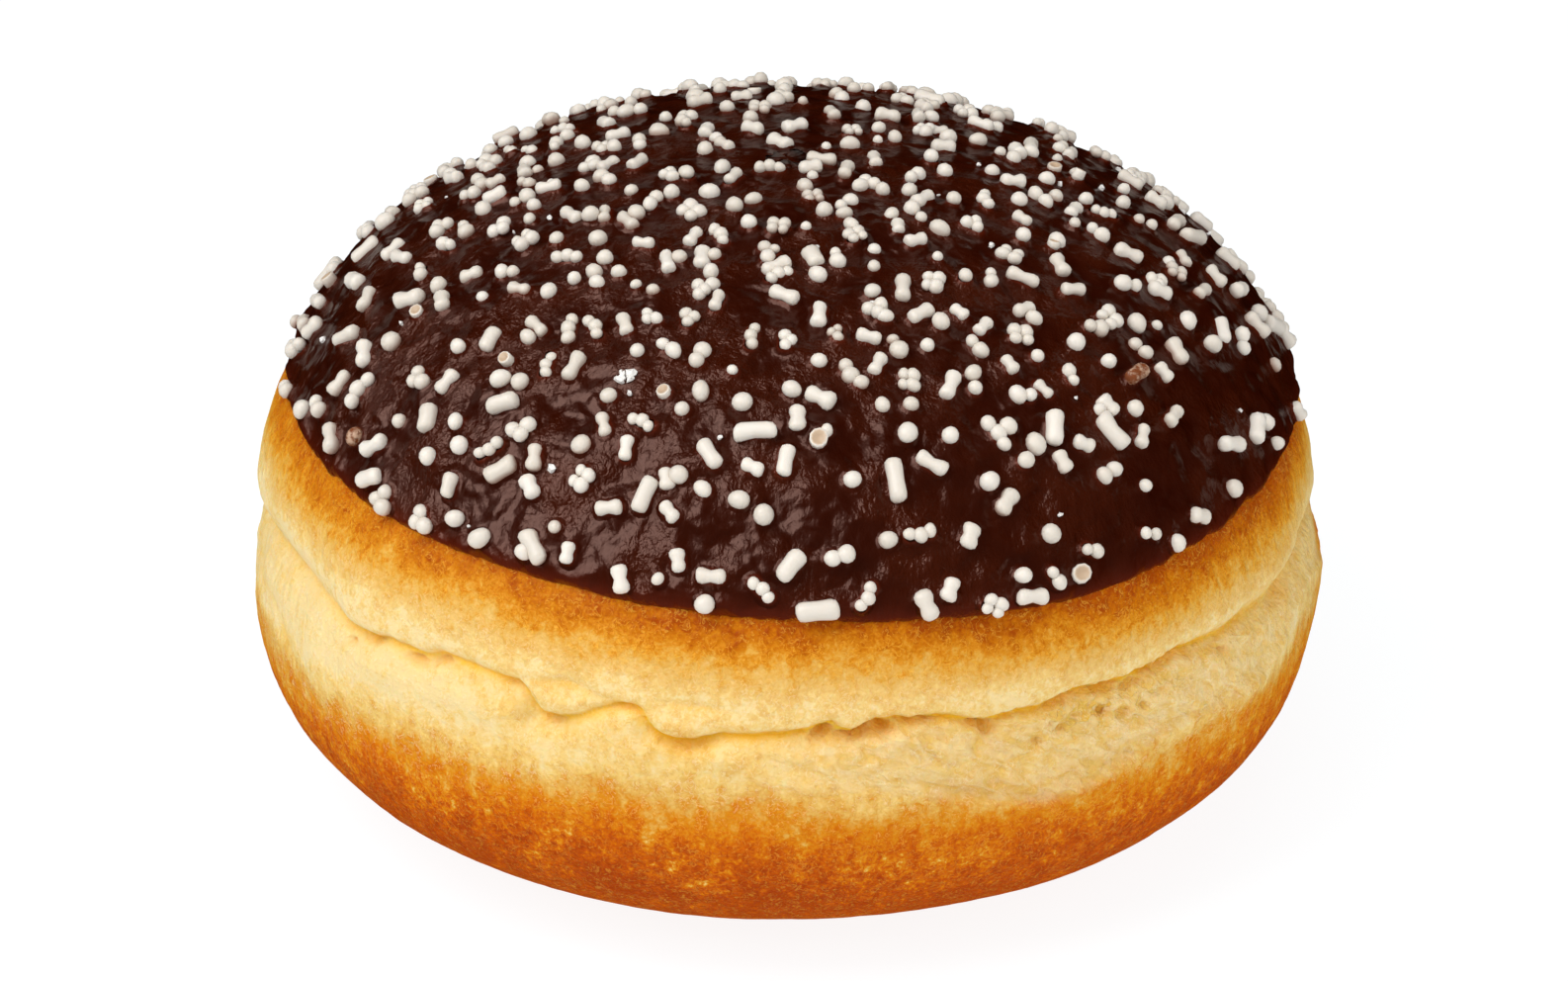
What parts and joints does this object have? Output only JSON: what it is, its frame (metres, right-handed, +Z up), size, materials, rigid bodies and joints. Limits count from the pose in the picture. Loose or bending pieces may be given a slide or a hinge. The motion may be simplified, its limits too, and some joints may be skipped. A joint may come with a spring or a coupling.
{
  "type": "berliner doughnut",
  "caption": "Round doughnut of fried yeast dough with a pinched waist, its dome covered in dark chocolate icing and small white sugar sprinkles.",
  "frame": {"origin": "centre of the flat base that the doughnut rests on, under its middle", "axes": "+Z up through the crown of the icing; -Y towards the viewer, the side with the pinched fold in the crease"},
  "size_m": [0.0858, 0.0851, 0.052],
  "materials": {
    "fried_dough": "soft fried dough: pale yellow round the middle, mottled orange brown under the icing and towards the base",
    "chocolate_icing": "set dark chocolate icing, softly glossy, redder at its thin edge, with white sugar sprinkles set in it"
  },
  "bodies": {
    "root": {"dough": "fried_dough", "chocolate_icing": "chocolate_icing"}
  },
  "joints": []
}
